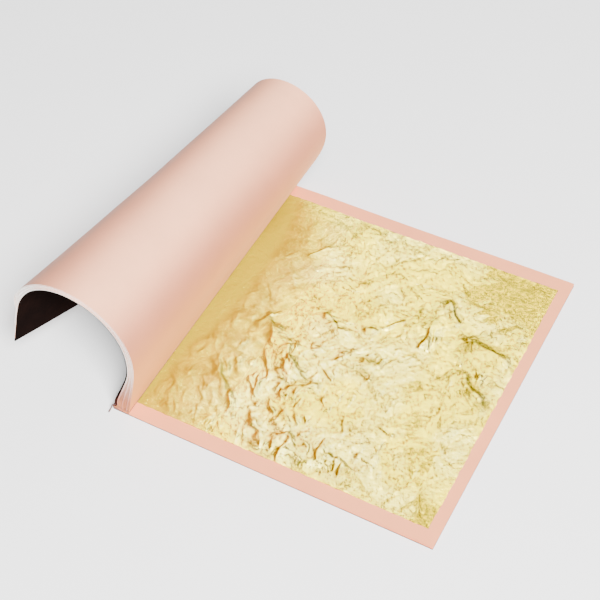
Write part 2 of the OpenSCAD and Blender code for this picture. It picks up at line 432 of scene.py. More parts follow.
class Finish:
    """A procedural material, built node by node."""

    def __init__(self, name):
        self.material = bpy.data.materials.new(name)
        self.material.use_nodes = True
        self.nodes = self.material.node_tree.nodes
        self.links = self.material.node_tree.links
        self.shader = self.nodes["Principled BSDF"]

    def add(self, kind, **values):
        node = self.nodes.new(kind)
        for key, value in values.items():
            if hasattr(node, key):
                setattr(node, key, value)
            else:
                node.inputs[key].default_value = value
        return node

    def link(self, source, target):
        self.links.new(source, target)

    def coordinates(self, scale=(1, 1, 1), use="UV", turn=0.0):
        where = self.add("ShaderNodeTexCoord")
        mapping = self.add("ShaderNodeMapping", Scale=scale, Rotation=(0, 0, turn))
        self.link(where.outputs[use], mapping.inputs["Vector"])
        return mapping.outputs["Vector"]

    def noise(self, vector, scale, detail=4.0, rough=0.55, distort=0.0):
        node = self.add("ShaderNodeTexNoise", Scale=scale, Detail=detail, Roughness=rough,
                        Distortion=distort)
        self.link(vector, node.inputs["Vector"])
        return node.outputs["Fac"]

    def span(self, value, low, high, to_low=0.0, to_high=1.0):
        node = self.add("ShaderNodeMapRange", **{
            "From Min": low, "From Max": high, "To Min": to_low, "To Max": to_high})
        self.link(value, node.inputs["Value"])
        return node.outputs["Result"]

    def axis(self, vector, name):
        split = self.add("ShaderNodeSeparateXYZ")
        self.link(vector, split.inputs[0])
        return split.outputs[name]

    def attribute(self, name):
        return self.add("ShaderNodeAttribute", attribute_name=name).outputs["Fac"]

    def combined(self, operation, a, b, clamp=False):
        node = self.add("ShaderNodeMath", operation=operation, use_clamp=clamp)
        self.link(a, node.inputs[0])
        self.link(b, node.inputs[1])
        return node.outputs[0]

    def mix(self, share, a, b):
        node = self.add("ShaderNodeMix", data_type="RGBA")
        for socket, value in ((node.inputs[6], a), (node.inputs[7], b)):
            if isinstance(value, bpy.types.NodeSocket):
                self.link(value, socket)
            else:
                socket.default_value = (*value, 1)
        self.link(share, node.inputs[0])
        return node.outputs[2]

    def painted_shade_along(self, shade, tones):
        """Paints shade onto a colour: multiplies it by tints that follow the sheet's own length."""
        length = tones[-1][0]
        along = self.axis(self.coordinates(), "X")
        ramp = self.add("ShaderNodeValToRGB")
        ramp.color_ramp.interpolation = "B_SPLINE"
        points = ramp.color_ramp.elements
        while len(points) < len(tones):
            points.new(0.5)
        for point, (place, _) in zip(points, tones):
            point.position = place / length
        for point, (_, tint) in zip(points, tones):
            point.color = (*tint, 1)
        self.link(self.span(along, 0, length * MM), ramp.inputs["Fac"])
        node = self.add("ShaderNodeMix", data_type="RGBA", blend_type="MULTIPLY")
        node.inputs[0].default_value = 1.0
        self.link(shade, node.inputs[6])
        self.link(ramp.outputs["Color"], node.inputs[7])
        return node.outputs[2]

    def bump(self, height, distance, strength=1.0, onto=None):
        node = self.add("ShaderNodeBump", Distance=distance, Strength=strength)
        self.link(height, node.inputs["Height"])
        if onto is not None:
            self.link(onto, node.inputs["Normal"])
        return node.outputs["Normal"]

    def set(self, **values):
        for key, value in values.items():
            socket = self.shader.inputs[key.replace("_", " ")]
            if isinstance(value, bpy.types.NodeSocket):
                self.link(value, socket)
            else:
                socket.default_value = value


def tinted(tone, factor):
    return tuple(min(1.0, c * factor) for c in tone)


# Painted shade on the outside of the roll along the sheet: tints that darken it near the gutter, on
# the flank and towards the free edge, and leave it lightest where the roll faces the light. Each
# pair gives the distance from the gutter in mm, and a tint.
ROLL_PAINTED_SHADE = (
    (0, (0.88, 0.68, 0.14)), (9, (0.88, 0.68, 0.18)), (20, (0.74, 0.56, 0.24)),
    (27, (0.54, 0.41, 0.35)), (33, (0.57, 0.44, 0.43)), (40, (0.97, 0.95, 0.94)),
    (48, (1.0, 1.0, 1.0)), (54, (0.78, 0.65, 0.63)), (61, (0.60, 0.48, 0.47)),
    (84, (0.64, 0.51, 0.50)),
)


def tissue_finish(name, tone, painted_shade_tints=None):
    """Thin tissue: cloudy colour, short fibres and a faint tooth; on the roll, painted shade along
    the sheet as well.
    """
    f = Finish(name)
    cloud = f.noise(f.coordinates(), 70, 5, 0.6)
    fleck = f.noise(f.coordinates((1, 2.6, 1)), 900, 3, 0.6)
    fibre = f.noise(f.coordinates((1, 9, 1), turn=0.35), 420, 4, 0.7, 0.8)
    shade = f.mix(f.span(cloud, 0.32, 0.68), tinted(tone, 0.955), tinted(tone, 1.04))
    shade = f.mix(f.span(fibre, 0.58, 0.72, 0, 0.35), shade, tinted(tone, 1.12))
    shade = f.mix(f.span(fleck, 0.62, 0.75, 0, 0.30), shade, tinted(tone, 0.88))
    if painted_shade_tints:
        shade = f.painted_shade_along(shade, painted_shade_tints)
    tooth = f.bump(fleck, 0.00002, 0.5)
    tooth = f.bump(fibre, 0.00003, 0.6, tooth)
    f.set(Base_Color=shade, Roughness=0.62, Normal=tooth, Specular_IOR_Level=0.12,
          Sheen_Weight=0.08, Sheen_Roughness=0.5)
    return f.material


# Painted shade: the rose-red colour given to the sheets' cut edges low down, where they near the
# bound edge.
LOW_EDGE_PAINTED_SHADE = (0.58, 0.20, 0.14)


def edge_finish(name, tone):
    """The cut edges of tissue: pale, with fine lines along the edge, and rose-red painted shade low
    down.
    """
    f = Finish(name)
    where = f.coordinates(use="Object")
    grain = f.noise(where, 1500, 3, 0.6)
    shade = f.mix(f.span(grain, 0.35, 0.65), tinted(tone, 0.88), tinted(tone, 1.05))
    # Painted shade: the edges turn rose-red below 22 mm in height, most of all below 6 mm.
    low = f.span(f.axis(where, "Z"), 0.006, 0.022, 0.95, 0.0)
    shade = f.mix(low, shade, LOW_EDGE_PAINTED_SHADE)
    f.set(Base_Color=shade, Roughness=0.8, Specular_IOR_Level=0.2)
    return f.material


def gold_finish(name, tone, painted_shade, painted_reflection_tone, pale):
    """Beaten gold, finely crackled, with painted shade in its folds and hollows, a painted
    highlight on its raised parts, and a painted reflection of the roll in a less metallic band
    beside the gutter.
    """
    f = Finish(name)
    where = f.coordinates()
    crackle = f.noise(where, 900, 6, 0.65, 0.6)
    cloud = f.noise(where, 160, 4, 0.6, 1.2)
    satin_and_painted_reflection = f.attribute("satin_and_painted_reflection")
    # Painted shade from the leaf's own attribute, with a little more at random from the cloud.
    depth = f.combined("ADD", f.attribute("painted_shade"), f.span(cloud, 0.50, 0.75, 0, 0.16), clamp=True)
    # Painted highlight where the pale attribute is high.
    shade = f.mix(f.attribute("pale"), tone, pale)
    # Painted reflection of the roll beside the gutter, where the same share makes the gold less
    # metallic.
    shade = f.mix(satin_and_painted_reflection, shade, painted_reflection_tone)
    shade = f.mix(depth, shade, painted_shade)
    surface = f.bump(crackle, 0.00030, 1.0)
    surface = f.bump(cloud, 0.00070, 0.6, surface)
    f.set(Base_Color=shade, Metallic=f.span(satin_and_painted_reflection, 0, 1, 0.90, 0.25), Normal=surface,
          Roughness=f.span(crackle, 0.3, 0.7, 0.13, 0.27), Specular_IOR_Level=0.3)
    return f.material


# Colour of the front cover where it nears its bound edge.
FOLD_BROWN = (0.060, 0.021, 0.016)


def card_finish(name, tone, worn):
    """Thin dark card, smooth, with a soft rub of brown."""
    f = Finish(name)
    where = f.coordinates(use="Object")
    rub = f.noise(where, 55, 5, 0.6)
    grain = f.noise(where, 1300, 3, 0.6)
    shade = f.mix(f.span(rub, 0.45, 0.80, 0, 0.7), tone, worn)
    shade = f.mix(f.span(grain, 0.60, 0.80, 0, 0.25), shade, worn)
    height = f.axis(where, "Z")
    near_fold = f.combined(
        "MULTIPLY", f.span(height, 0.0004, 0.0012), f.span(height, 0.002, 0.008, 1, 0))
    shade = f.mix(near_fold, shade, FOLD_BROWN)
    f.set(Base_Color=shade, Roughness=f.span(grain, 0.3, 0.7, 0.62, 0.80),
          Normal=f.bump(grain, 0.00003, 0.4), Specular_IOR_Level=0.0)
    return f.material


def thread_finish(name, tone):
    """Dull thread, flecked darker and lighter at random."""
    f = Finish(name)
    where = f.coordinates(use="Object")
    fuzz = f.noise(where, 5000, 3, 0.6)
    shade = f.mix(f.span(fuzz, 0.4, 0.65), tinted(tone, 0.6), tinted(tone, 1.7))
    f.set(Base_Color=shade, Roughness=0.85, Normal=f.bump(fuzz, 0.00004, 0.6),
          Sheen_Weight=0.3)
    return f.material


def floor_finish(name, tone):
    f = Finish(name)
    grain = f.noise(f.coordinates(use="Object"), 30, 3, 0.5)
    shade = f.mix(f.span(grain, 0.3, 0.7), tinted(tone, 0.99), tinted(tone, 1.01))
    f.set(Base_Color=shade, Roughness=0.9, Specular_IOR_Level=0.1)
    return f.material


def material(kind):
    """The finish of that kind, made once."""
    if kind in bpy.data.materials:
        return bpy.data.materials[kind]
    tones = bpy.context.scene.booklet_colours
    makers = {
        "salmon_tissue": lambda n: tissue_finish(n, tones.tissue),
        # The outside of the roll: a paler, lit copy of the tissue's colour, with painted shade
        # along the sheet.
        "turned_tissue_painted_light": lambda n: tissue_finish(n, tones.tissue_turned_painted_lit, ROLL_PAINTED_SHADE),
        "tissue_edge": lambda n: edge_finish(n, tones.tissue_edge),
        "beaten_gold": lambda n: gold_finish(
            n, tones.gold, tones.gold_painted_shade, tones.gold_painted_reflection, tones.gold_painted_highlight),
        "dark_card": lambda n: card_finish(n, tones.card, tones.card_worn),
        "binding_thread": lambda n: thread_finish(n, tones.thread),
        "studio_floor": lambda n: floor_finish(n, tones.floor),
    }
    return makers[kind](kind)


def finishes(*kinds):
    return [material(kind) for kind in kinds]


# ---- the pieces

# Place of the innermost tissue sheet in the block, next to the front cover.
INNERMOST = 0.93
# How much less each page lifts than the page above it.
LIFT_LOSS = 0.22
# Distance of the stitches' holes from the bound edge, in mm.
HOLE_INSET = 1.6


def block_share(k):
    """Place of turned sheet k in the block: 0 is the outermost sheet, and 1 the front cover."""
    return INNERMOST * (OPEN_LEAF - k) / (OPEN_LEAF - 1)


# Thickness of one tissue sheet in the CAD.
SHEET_IN_CAD = 0.00003
# Distance from the gutter, in mm, at which a turned sheet moves wholly with the block.
FOOT_TOP = 5.0


def turned_piece(name, node, grids, materials):
    """A turned sheet in two pieces that meet above the gutter.

    The short foot bends from its bound strip into the block. The rest turns with the block, as a
    whole, because its free edge rests so near the foot that one bend can't tell them apart."""
    outer, inner, along = grids
    cut = int(np.searchsorted(along, FOOT_TOP))
    foot = sheet_piece(f"{name}_foot", outer[:cut + 1], inner[:cut + 1], along[:cut + 1],
                       materials)
    rest = sheet_piece(name, outer[cut:], inner[cut:], along[cut:], materials)
    for piece in (foot, rest):
        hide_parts(node)
    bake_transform(foot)
    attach(rest, "turned_block")


class BOOKLET_OT_turned_tissues(bpy.types.Operator):
    """Make the tissue sheets of the roll, each bending out of its bound strip"""

    bl_idname = "booklet.turned_tissues"
    bl_label = "Turned Tissues"

    def execute(self, context):
        sizes = context.scene.booklet_sizes
        shuffle = np.random.default_rng(context.scene.booklet_studio.seed + 3)
        for k in range(1, OPEN_LEAF + 1):
            rows = FINE_ROWS if k == OPEN_LEAF else ROWS
            shift = shuffle.uniform(-CUT_SHUFFLE, CUT_SHUFFLE)
            grids = turned_sheet(
                block_share(k), sizes.tissue_t / MM, -FOOT_BEND, sizes.page_w / MM,
                NEAR_Y, FAR_Y, rows, 0 if k == OPEN_LEAF else shift)
            turned_piece(f"tissue_sheet_{k:02d}", TISSUES[k - 1], grids,
                         finishes("turned_tissue_painted_light", "tissue_edge"))
        return {"FINISHED"}


class BOOKLET_OT_turned_leaves(bpy.types.Operator):
    """Make the gold leaves that lie hidden between the turned tissue sheets"""

    bl_idname = "booklet.turned_leaves"
    bl_label = "Turned Leaves"

    def execute(self, context):
        sizes = context.scene.booklet_sizes
        for k in range(1, OPEN_LEAF):
            share = (block_share(k) + block_share(k + 1)) / 2
            outer, inner, along = turned_sheet(
                share, sizes.leaf_t / MM, LEAF_START, sizes.page_w / MM - LEAF_END_GAP,
                NEAR_Y + LEAF_MARGIN, FAR_Y - LEAF_MARGIN, ROWS)
            piece = sheet_piece(f"leaf_of_gold_{k:02d}", outer, inner, along,
                                finishes("beaten_gold", "beaten_gold"))
            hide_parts(LEAVES[k - 1])
            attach(piece, "turned_block")
        return {"FINISHED"}


class BOOKLET_OT_covers(bpy.types.Operator):
    """Make the front cover inside the roll, its bound strip and the back cover"""

    bl_idname = "booklet.covers"
    bl_label = "Covers"

    def execute(self, context):
        sizes = context.scene.booklet_sizes
        card = finishes("dark_card", "dark_card")
        grids = turned_sheet(
            1.0, sizes.card_t / MM, -FOOT_BEND, sizes.page_w / MM, NEAR_Y, FAR_Y, FINE_ROWS)
        turned_piece("front_card", "front_cover", grids, card)
        foot = grids[0][0, :, 0].min()
        low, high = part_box("cover_strip")
        strip = flat_sheet("front_card_strip", low, high, BOUND_X,
                           foot, NEAR_Y, FAR_Y, 0, card, 24)
        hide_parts("cover_strip")
        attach(strip, "bound_base")
        low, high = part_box("back_cover")
        back = flat_sheet("back_card", low, high, BOUND_X, FORE_X,
                          NEAR_Y, FAR_Y, 0, card, 40)
        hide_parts("back_cover")
        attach(back, "bound_base")
        return {"FINISHED"}


class BOOKLET_OT_bound_strips(bpy.types.Operator):
    """Make the bound margins of the tissue sheets, stacked under the stitches"""

    bl_idname = "booklet.bound_strips"
    bl_label = "Bound Strips"

    def execute(self, context):
        sizes = context.scene.booklet_sizes
        low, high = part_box("bound_strips")
        rows, columns = 6, 30
        vertices, faces, kinds, patterns = [], [], [], []
        for k in range(1, SHEETS + 1):
            z = low.z / MM + (high.z - low.z - SHEET_IN_CAD) / MM * (SHEETS - k) / (SHEETS - 1)
            end = GUTTER_X - 0.2
            if k <= OPEN_LEAF:
                end = GUTTER_X - FOOT_BEND - bunched(block_share(k), 0) * block_depth(0.0, 0.0)
            x, y = grid(np.linspace(BOUND_X, end, rows), np.linspace(NEAR_Y, FAR_Y, columns))
            bottom = np.stack([x, y, np.full_like(x, z)], -1)
            top = bottom + np.array([0, 0, sizes.tissue_t / MM * 0.9])
            own, own_kinds = sheet_faces(rows, columns)
            faces += (np.array(own) + len(vertices)).tolist()
            kinds += own_kinds.tolist()
            vertices += bottom.reshape(-1, 3).tolist() + top.reshape(-1, 3).tolist()
            patterns += np.stack([x.ravel(), y.ravel()], -1).tolist() * 2
        piece = new_piece("tissue_margins", vertices, faces,
                          finishes("salmon_tissue", "tissue_edge"), kinds, patterns)
        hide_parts("bound_strips")
        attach(piece, "bound_base")
        return {"FINISHED"}


class BOOKLET_OT_open_pages(bpy.types.Operator):
    """Make the flat tissue pages and the gold leaves hidden between them"""

    bl_idname = "booklet.open_pages"
    bl_label = "Open Pages"

    def execute(self, context):
        for k in range(OPEN_LEAF + 1, SHEETS + 1):
            low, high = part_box(TISSUES[k - 1])
            share = 1 - LIFT_LOSS * (k - OPEN_LEAF - 1)
            page = flat_sheet(f"tissue_page_{k:02d}", low, high, GUTTER_X,
                              FORE_X, NEAR_Y, FAR_Y, share,
                              finishes("salmon_tissue", "tissue_edge"), 90)
            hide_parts(TISSUES[k - 1])
            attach(page, f"page_{k}")
        for k in range(OPEN_LEAF + 1, SHEETS):
            low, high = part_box(LEAVES[k - 1])
            share = 1 - LIFT_LOSS * (k - OPEN_LEAF - 0.5)
            leaf = flat_sheet(f"leaf_of_gold_{k:02d}", low, high,
                              low.x / MM, high.x / MM, low.y / MM, high.y / MM, share,
                              finishes("beaten_gold", "beaten_gold"), 60)
            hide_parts(LEAVES[k - 1])
            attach(leaf, f"leaf_{k}")
        return {"FINISHED"}


SMALL_FOLDS = 1100
# Layers of noise that make its wrinkles: width of a wrinkle in mm, share of the height, direction
# in radians, and how many times its width it is long.
WRINKLES = ((11, 1.0, 0.5, 1.5), (6.5, 0.62, -0.7, 1.8), (3.6, 0.36, 0.2, 2.0),
            (2.1, 0.21, -0.4, 1.8), (1.2, 0.11, 0.9, 1.5))
# Layers of its deeper streaks: length and width in mm, and direction in radians.
STREAKS = ((16, 3.6, 0.55), (11, 2.2, -0.35), (8, 1.5, 0.9))
# Places on the leaf in view, in mm from its corner at the near end of the gutter. They were picked
# on the photo and carried onto the leaf with the photo's camera.
# The point that the creases of the far right run from.
STAR = (59.0, 58.5)
# The smooth band beside the gutter: its width at places along the leaf.
BAND_AT = (3.4, 12.4, 21.5, 29.0, 40.0, 52.0, 66.0, 79.5)
BAND_WIDTH = (1.8, 2.2, 2.6, 5.9, 6.7, 6.8, 6.2, 3.6)
# Main folds of the leaf in view: points of the crest, height as a share, half-width of the steep
# side and of the gentle side, and how far painted shade darkens the steep side. The steep side is
# on the left of the points as they run. Heights and widths are listed.
FOLDS = [
    ([(12.8, 35.1), (15.1, 35.9), (16.4, 38.2), (19.3, 35.3), (23.2, 30.0)], 0.8, 0.8, 2.5, 0.9),
    ([(17.3, 38.8), (22.7, 33.4), (27.7, 28.7), (33.5, 24.5), (38.5, 19.4)], 1.0, 1.4, 3.4, 0.5),
    ([(10.3, 22.8), (13.8, 17.4), (17.3, 12.9), (23.2, 8.0)], 0.8, 1.0, 3.0, 0.8),
    ([(34.5, 14.7), (38.5, 9.0), (41.3, 4.9), (45.9, 4.0), (52.0, 5.5)], 0.7, 1.2, 2.6, 0.8),
    ([(55.7, 65.4), (58.9, 61.0), (62.5, 56.8)], 0.8, 0.8, 2.6, 0.9),
    ([(64.0, 54.5), (68.7, 53.4), (75.0, 53.0), (80.0, 52.3)], 0.8, 1.3, 3.2, 1.0),
    ([(66.0, 47.0), (70.4, 42.3), (75.3, 39.2), (79.9, 34.2)], 0.8, 1.1, 3.2, 0.8),
    ([(43.9, 38.5), (47.0, 36.8), (50.0, 35.5)], 0.6, 0.8, 1.8, 0.8),
    ([(30.0, 19.3), (35.0, 21.7), (40.1, 26.0)], 0.5, 0.8, 2.0, 0.5),
    ([(28.0, 46.4), (31.3, 45.0), (35.0, 43.2), (39.1, 42.3)], 0.5, 0.7, 2.0, 0.8),
    ([(39.8, 45.5), (42.5, 46.6), (45.3, 46.1)], 0.5, 0.7, 1.8, 0.7),
    ([(44.3, 9.6), (50.0, 7.2), (55.9, 5.9), (64.6, 7.1)], 0.5, 0.8, 2.2, 0.4),
]


def fold_field(x, y):
    """Height, as a share, and the painted shade on their steep sides that the main folds give the
    leaf at x, y.
    """
    height, tone = np.zeros_like(x), np.zeros_like(x)
    for points, share, steep, gentle, steep_shade in FOLDS:
        best = np.full_like(x, 1e9)
        side = np.zeros_like(x)
        place = np.zeros_like(x)
        count = len(points) - 1
        for i, (a, b) in enumerate(zip(points[:-1], points[1:])):
            run = np.array(b) - np.array(a)
            long = run @ run
            t = np.clip(((x - a[0]) * run[0] + (y - a[1]) * run[1]) / long, 0, 1)
            gap = np.hypot(x - a[0] - t * run[0], y - a[1] - t * run[1])
            turn = run[0] * (y - a[1]) - run[1] * (x - a[0])
            nearer = gap < best
            best = np.where(nearer, gap, best)
            side = np.where(nearer, turn, side)
            place = np.where(nearer, (i + t) / count, place)
        width = np.where(side > 0, steep, gentle)
        taper = ease(place * 3) * ease((1 - place) * 3)
        height += share * taper * np.exp(-((best / width) ** 1.5))
        beside = np.exp(-(((best - steep) / (steep * 1.3)) ** 2))
        # Painted shade beside the crest, on the steep side.
        tone += steep_shade * taper * beside * ease(0.5 + side / 6)
    return height, tone


def small_folds(x, y, seed):
    """Height, in mm, of the many small folds of the leaf, sharp on one side of each crest.

    Most run one of two ways: up the leaf near the roll and across it towards the far corner."""
    draw = np.random.default_rng(seed)
    height = np.zeros_like(x)
    step = x[1, 0] - x[0, 0], y[0, 1] - y[0, 0]
    for _ in range(SMALL_FOLDS):
        cx, cy = draw.uniform(0, 82), draw.uniform(0, 80)
        long = 1.5 + draw.gamma(2.0, 2.3)
        across_leaf = ease((cy + 0.5 * cx - 40) / 40)
        main = 31 if draw.uniform() < across_leaf else 118
        spread = 24
        if math.hypot(cx - STAR[0], cy - STAR[1]) < 30:
            main, spread = math.degrees(math.atan2(cy - STAR[1], cx - STAR[0])), 14
        turn = math.radians(draw.normal(main, spread) + (180 if draw.uniform() < 0.3 else 0))
        bend = draw.normal(0, 0.35) / long
        tall = 0.105 * long ** 0.65 * draw.uniform(0.4, 1.2)
        steep, gentle = draw.uniform(0.22, 0.5), draw.uniform(0.7, 1.9)
        reach = long / 2 + 3 * gentle
        i0, i1 = (int(np.clip((cx + d) / step[0], 0, x.shape[0])) for d in (-reach, reach))
        j0, j1 = (int(np.clip((cy + d) / step[1], 0, x.shape[1])) for d in (-reach, reach))
        dx, dy = x[i0:i1, j0:j1] - cx, y[i0:i1, j0:j1] - cy
        along, off = turned_by(turn, dx, dy)
        off = off - bend * along ** 2
        fade = ease(1.25 * (1 - np.abs(along) / (long / 2)))
        width = np.where(off > 0, steep, gentle)
        height[i0:i1, j0:j1] += tall * fade * np.exp(-np.abs(off) / width)
    return height


def rimmed_leaf(name, x, y, z, height):
    """A leaf whose top is at z plus its height, closed by a rim that hangs to the page below.

    Gives the top's vertices on the rim too, in the order of the rim's own vertices."""
    count = len(x)
    top = np.stack([x, y, z + height], -1).reshape(-1, 3)
    index = np.arange(count * count).reshape(count, count)
    quads = np.stack([index[:-1, :-1], index[1:, :-1], index[1:, 1:], index[:-1, 1:]], -1)
    rim = np.concatenate([index[:, 0], index[-1, 1:], index[-2::-1, -1], index[0, -2:0:-1]])
    skirt = top[rim].copy()
    skirt[:, 2] = z + open_page_height(skirt[:, 0], skirt[:, 1], 1.0) + 0.002
    lower = count * count + np.arange(len(rim))
    following = np.roll(np.arange(len(rim)), -1)
    walls = np.stack([rim, lower, lower[following], rim[following]], -1)
    faces = quads.reshape(-1, 4).tolist() + walls.tolist() + [lower[::-1].tolist()]
    kinds = [0] * (count - 1) ** 2 + [1] * (len(rim) + 1)
    vertices = np.concatenate([top, skirt])
    piece = new_piece(name, vertices, faces, finishes("beaten_gold", "beaten_gold"), kinds,
                      vertices[:, :2])
    return piece, rim


class BOOKLET_OT_leaf_in_view(bpy.types.Operator):
    """Make the wrinkled leaf of gold on the open page"""

    bl_idname = "booklet.leaf_in_view"
    bl_label = "Leaf in View"

    def execute(self, context):
        sizes = context.scene.booklet_sizes
        seed = context.scene.booklet_studio.seed
        low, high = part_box(LEAVES[OPEN_LEAF - 1])
        count = 300
        u, w = grid(np.linspace(0, 1, count), np.linspace(0, 1, count))
        x = between(GUTTER_X + 0.05, high.x / MM, u)
        y = between(low.y / MM, high.y / MM, w)
        lx, ly = x - GUTTER_X, y - low.y / MM
        warp_x = lx + 2.2 * gradient_noise(lx / 9, ly / 9, seed + 1)
        warp_y = ly + 2.2 * gradient_noise(lx / 9, ly / 9, seed + 2)
        wrinkle = np.zeros_like(x)
        for i, (wave, share, turn, stretch) in enumerate(WRINKLES):
            a, b = turned_by(turn, warp_x, warp_y)
            wrinkle += share * np.abs(gradient_noise(a / (wave * stretch), b / wave, seed + 40 + i))
        band = np.interp(ly, BAND_AT, BAND_WIDTH) + 0.8 * gradient_noise(ly / 5, lx / 9, seed + 5)
        calm = ease((lx - band + 1.2) / 3.2)
        edge = 0.4 + 0.6 * ease(np.minimum(np.minimum(u, 1 - u), np.minimum(w, 1 - w)) * 22)
        bent_x = lx + 0.9 * gradient_noise(lx / 4, ly / 4, seed + 6)
        bent_y = ly + 0.9 * gradient_noise(lx / 4, ly / 4, seed + 7)
        height, tone = fold_field(bent_x, bent_y)
        small = small_folds(bent_x, bent_y, seed + 60)
        page = open_page_height(x, y, 1.0)
        raised = edge * (0.06 + 0.94 * calm) * (
            sizes.wrinkle / MM * wrinkle + sizes.fold / MM * height + small)
        # Room for the folds: hardly any at the gutter, most at the near end.
        room = 0.02 + (0.085 + 0.16 * (1 - w) ** 2) * np.maximum(lx, 0)
        total = 0.012 + page + room * np.tanh(raised / room)
        rag = 0.3 * (1 - edge)
        x = x + rag * gradient_noise(lx / 1.7, ly / 1.7, seed + 8) * (u > 0.02)
        y = y + rag * gradient_noise(lx / 1.9, ly / 1.6, seed + 9)
        # Painted shade and painted reflection on the gold: painted shade on the steep sides of the
        # main folds, in the hollows between the small folds, on slopes that face the roll and at
        # the far corner; a painted reflection of the roll in the band beside the gutter and in a
        # patch beside the roll near the far end; and a darker tone at the near corner and in
        # streaks at random.
        far_corner = ease((lx - 56) / 16) * ease((ly - 57) / 15)
        far_band = ease(1 - np.hypot(lx / 5, (ly - 70) / 14))
        hollow = ease((0.9 - small / 0.20) / 1.4) * calm
        near_corner = ease((lx - 70) / 10) * ease((9 - ly) / 7)
        streaks = np.zeros_like(x)
        for i, (long, wide, turn) in enumerate(STREAKS):
            a, b = turned_by(turn, warp_x, warp_y)
            streak = gradient_noise(a / long, b / wide, seed + 80 + i)
            streaks = np.maximum(streaks, ease((streak - 0.12) / 0.4))
        uphill = np.gradient(total, axis=0) / (x[1, 0] - x[0, 0])
        tone = (0.55 * tone + 0.75 * calm * ease((uphill - 0.04) / 0.4)
                + 0.45 * calm * streaks + 1.0 * far_corner + 0.8 * near_corner
                + 0.15 * (1 - calm) + 0.6 * far_band + 0.30 * hollow)
        piece, rim = rimmed_leaf("leaf_in_view", x, y, low.z / MM, total)
        # Painted highlight: the gold is pale on slopes that face away from the roll, and in broad
        # patches at random, away from the gutter.
        patches = ease(0.45 + 1.9 * gradient_noise(lx / 15, ly / 15, seed + 70))
        pale = calm * ease((lx - 4) / 16) * (0.8 * ease((-uphill - 0.03) / 0.35) + 0.65 * patches)
        # Painted reflection of the roll beside the gutter, fading over 34 mm and strongest where
        # the gold lies smooth; the same share lowers the gold's metallic there.
        satin_and_painted_reflection = 0.70 * (1 - ease(lx / 34)) + 0.30 * (1 - calm)
        for name, values in (("painted_shade", tone), ("satin_and_painted_reflection", satin_and_painted_reflection), ("pale", pale)):
            layer = piece.data.attributes.new(name, "FLOAT", "POINT")
            values = np.clip(np.concatenate([values.ravel(), values.ravel()[rim]]), 0, 1)
            layer.data.foreach_set("value", values.astype(np.float32))
        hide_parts(LEAVES[OPEN_LEAF - 1])
        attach(piece, "leaf_21")
        return {"FINISHED"}


def twisted_tube(path, radius, sides=8, twist=2.6):
    """Vertices and faces of a closed tube of two plies along a path, in mm."""
    path = np.asarray(path, float)
    lengths = np.concatenate([[0], np.cumsum(np.linalg.norm(np.diff(path, axis=0), axis=1))])
    tangents = np.gradient(path, axis=0)
    tangents /= np.linalg.norm(tangents, axis=1)[:, None]
    side = np.cross(tangents[0], (0.12, 0.3, 0.95))
    vertices = []
    for p, t, s in zip(path, tangents, lengths):
        side = side - t * (side @ t)
        side /= np.linalg.norm(side)
        up = np.cross(t, side)
        for j in range(sides):
            a = 2 * np.pi * j / sides
            r = radius * (0.80 + 0.20 * abs(math.cos(a - twist * s)))
            vertices.append(p + r * (math.cos(a) * side + math.sin(a) * up))
    faces = []
    for i in range(len(path) - 1):
        for j in range(sides):
            k = (j + 1) % sides
            faces.append((i * sides + j, i * sides + k, (i + 1) * sides + k, (i + 1) * sides + j))
    last = (len(path) - 1) * sides
    faces.append(tuple(reversed(range(sides))))
    faces.append(tuple(last + j for j in range(sides)))
    return vertices, faces


def stitch_tree(material_used):
    """Geometry Nodes: repeats one stitch along the bound edge, each a little different."""
    tree = bpy.data.node_groups.new("overcast stitches", "GeometryNodeTree")
    face = tree.interface
    face.new_socket("Geometry", in_out="INPUT", socket_type="NodeSocketGeometry")
    for name, kind in (("Stitch Count", "NodeSocketInt"), ("Stitch Spacing", "NodeSocketFloat"),
                       ("First Stitch", "NodeSocketFloat"), ("Unevenness", "NodeSocketFloat")):
        face.new_socket(name, in_out="INPUT", socket_type=kind)
    face.new_socket("Geometry", in_out="OUTPUT", socket_type="NodeSocketGeometry")
    given, line, put, real, paint, out, turn = (tree.nodes.new(kind) for kind in (
        "NodeGroupInput", "GeometryNodeMeshLine", "GeometryNodeInstanceOnPoints",
        "GeometryNodeRealizeInstances", "GeometryNodeSetMaterial", "NodeGroupOutput",
        "FunctionNodeRandomValue"))
    start, step = (tree.nodes.new("ShaderNodeCombineXYZ") for _ in range(2))
    low, high = (tree.nodes.new("ShaderNodeVectorMath") for _ in range(2))
    low.operation = high.operation = "SCALE"
    low.inputs[0].default_value = (0, 0, -1)
    high.inputs[0].default_value = (0, 0, 1)
    turn.data_type = "FLOAT_VECTOR"
    turn.inputs["Seed"].default_value = 5
    paint.inputs["Material"].default_value = material_used
    for source, output, target, socket in (
        (given, "First Stitch", start, "Y"), (given, "Stitch Spacing", step, "Y"),
        (given, "Stitch Count", line, "Count"), (start, 0, line, "Start Location"),
        (step, 0, line, "Offset"), (given, "Unevenness", low, "Scale"),
        (given, "Unevenness", high, "Scale"), (low, 0, turn, "Min"), (high, 0, turn, "Max"),
        (line, "Mesh", put, "Points"), (given, "Geometry", put, "Instance"),
        (turn, 0, put, "Rotation"), (put, "Instances", real, "Geometry"),
        (real, "Geometry", paint, "Geometry"), (paint, "Geometry", out, "Geometry"),
    ):
        tree.links.new(source.outputs[output], target.inputs[socket])
    return tree


def smooth_path(points, passes=2):
    """Points along a line with its corners rounded."""
    line = np.asarray(points, float)
    for _ in range(passes):
        a, b = line[:-1], line[1:]
        cut = np.stack([a * 0.75 + b * 0.25, a * 0.25 + b * 0.75], 1).reshape(-1, 3)
        line = np.vstack([line[0], cut, line[-1]])
    return line


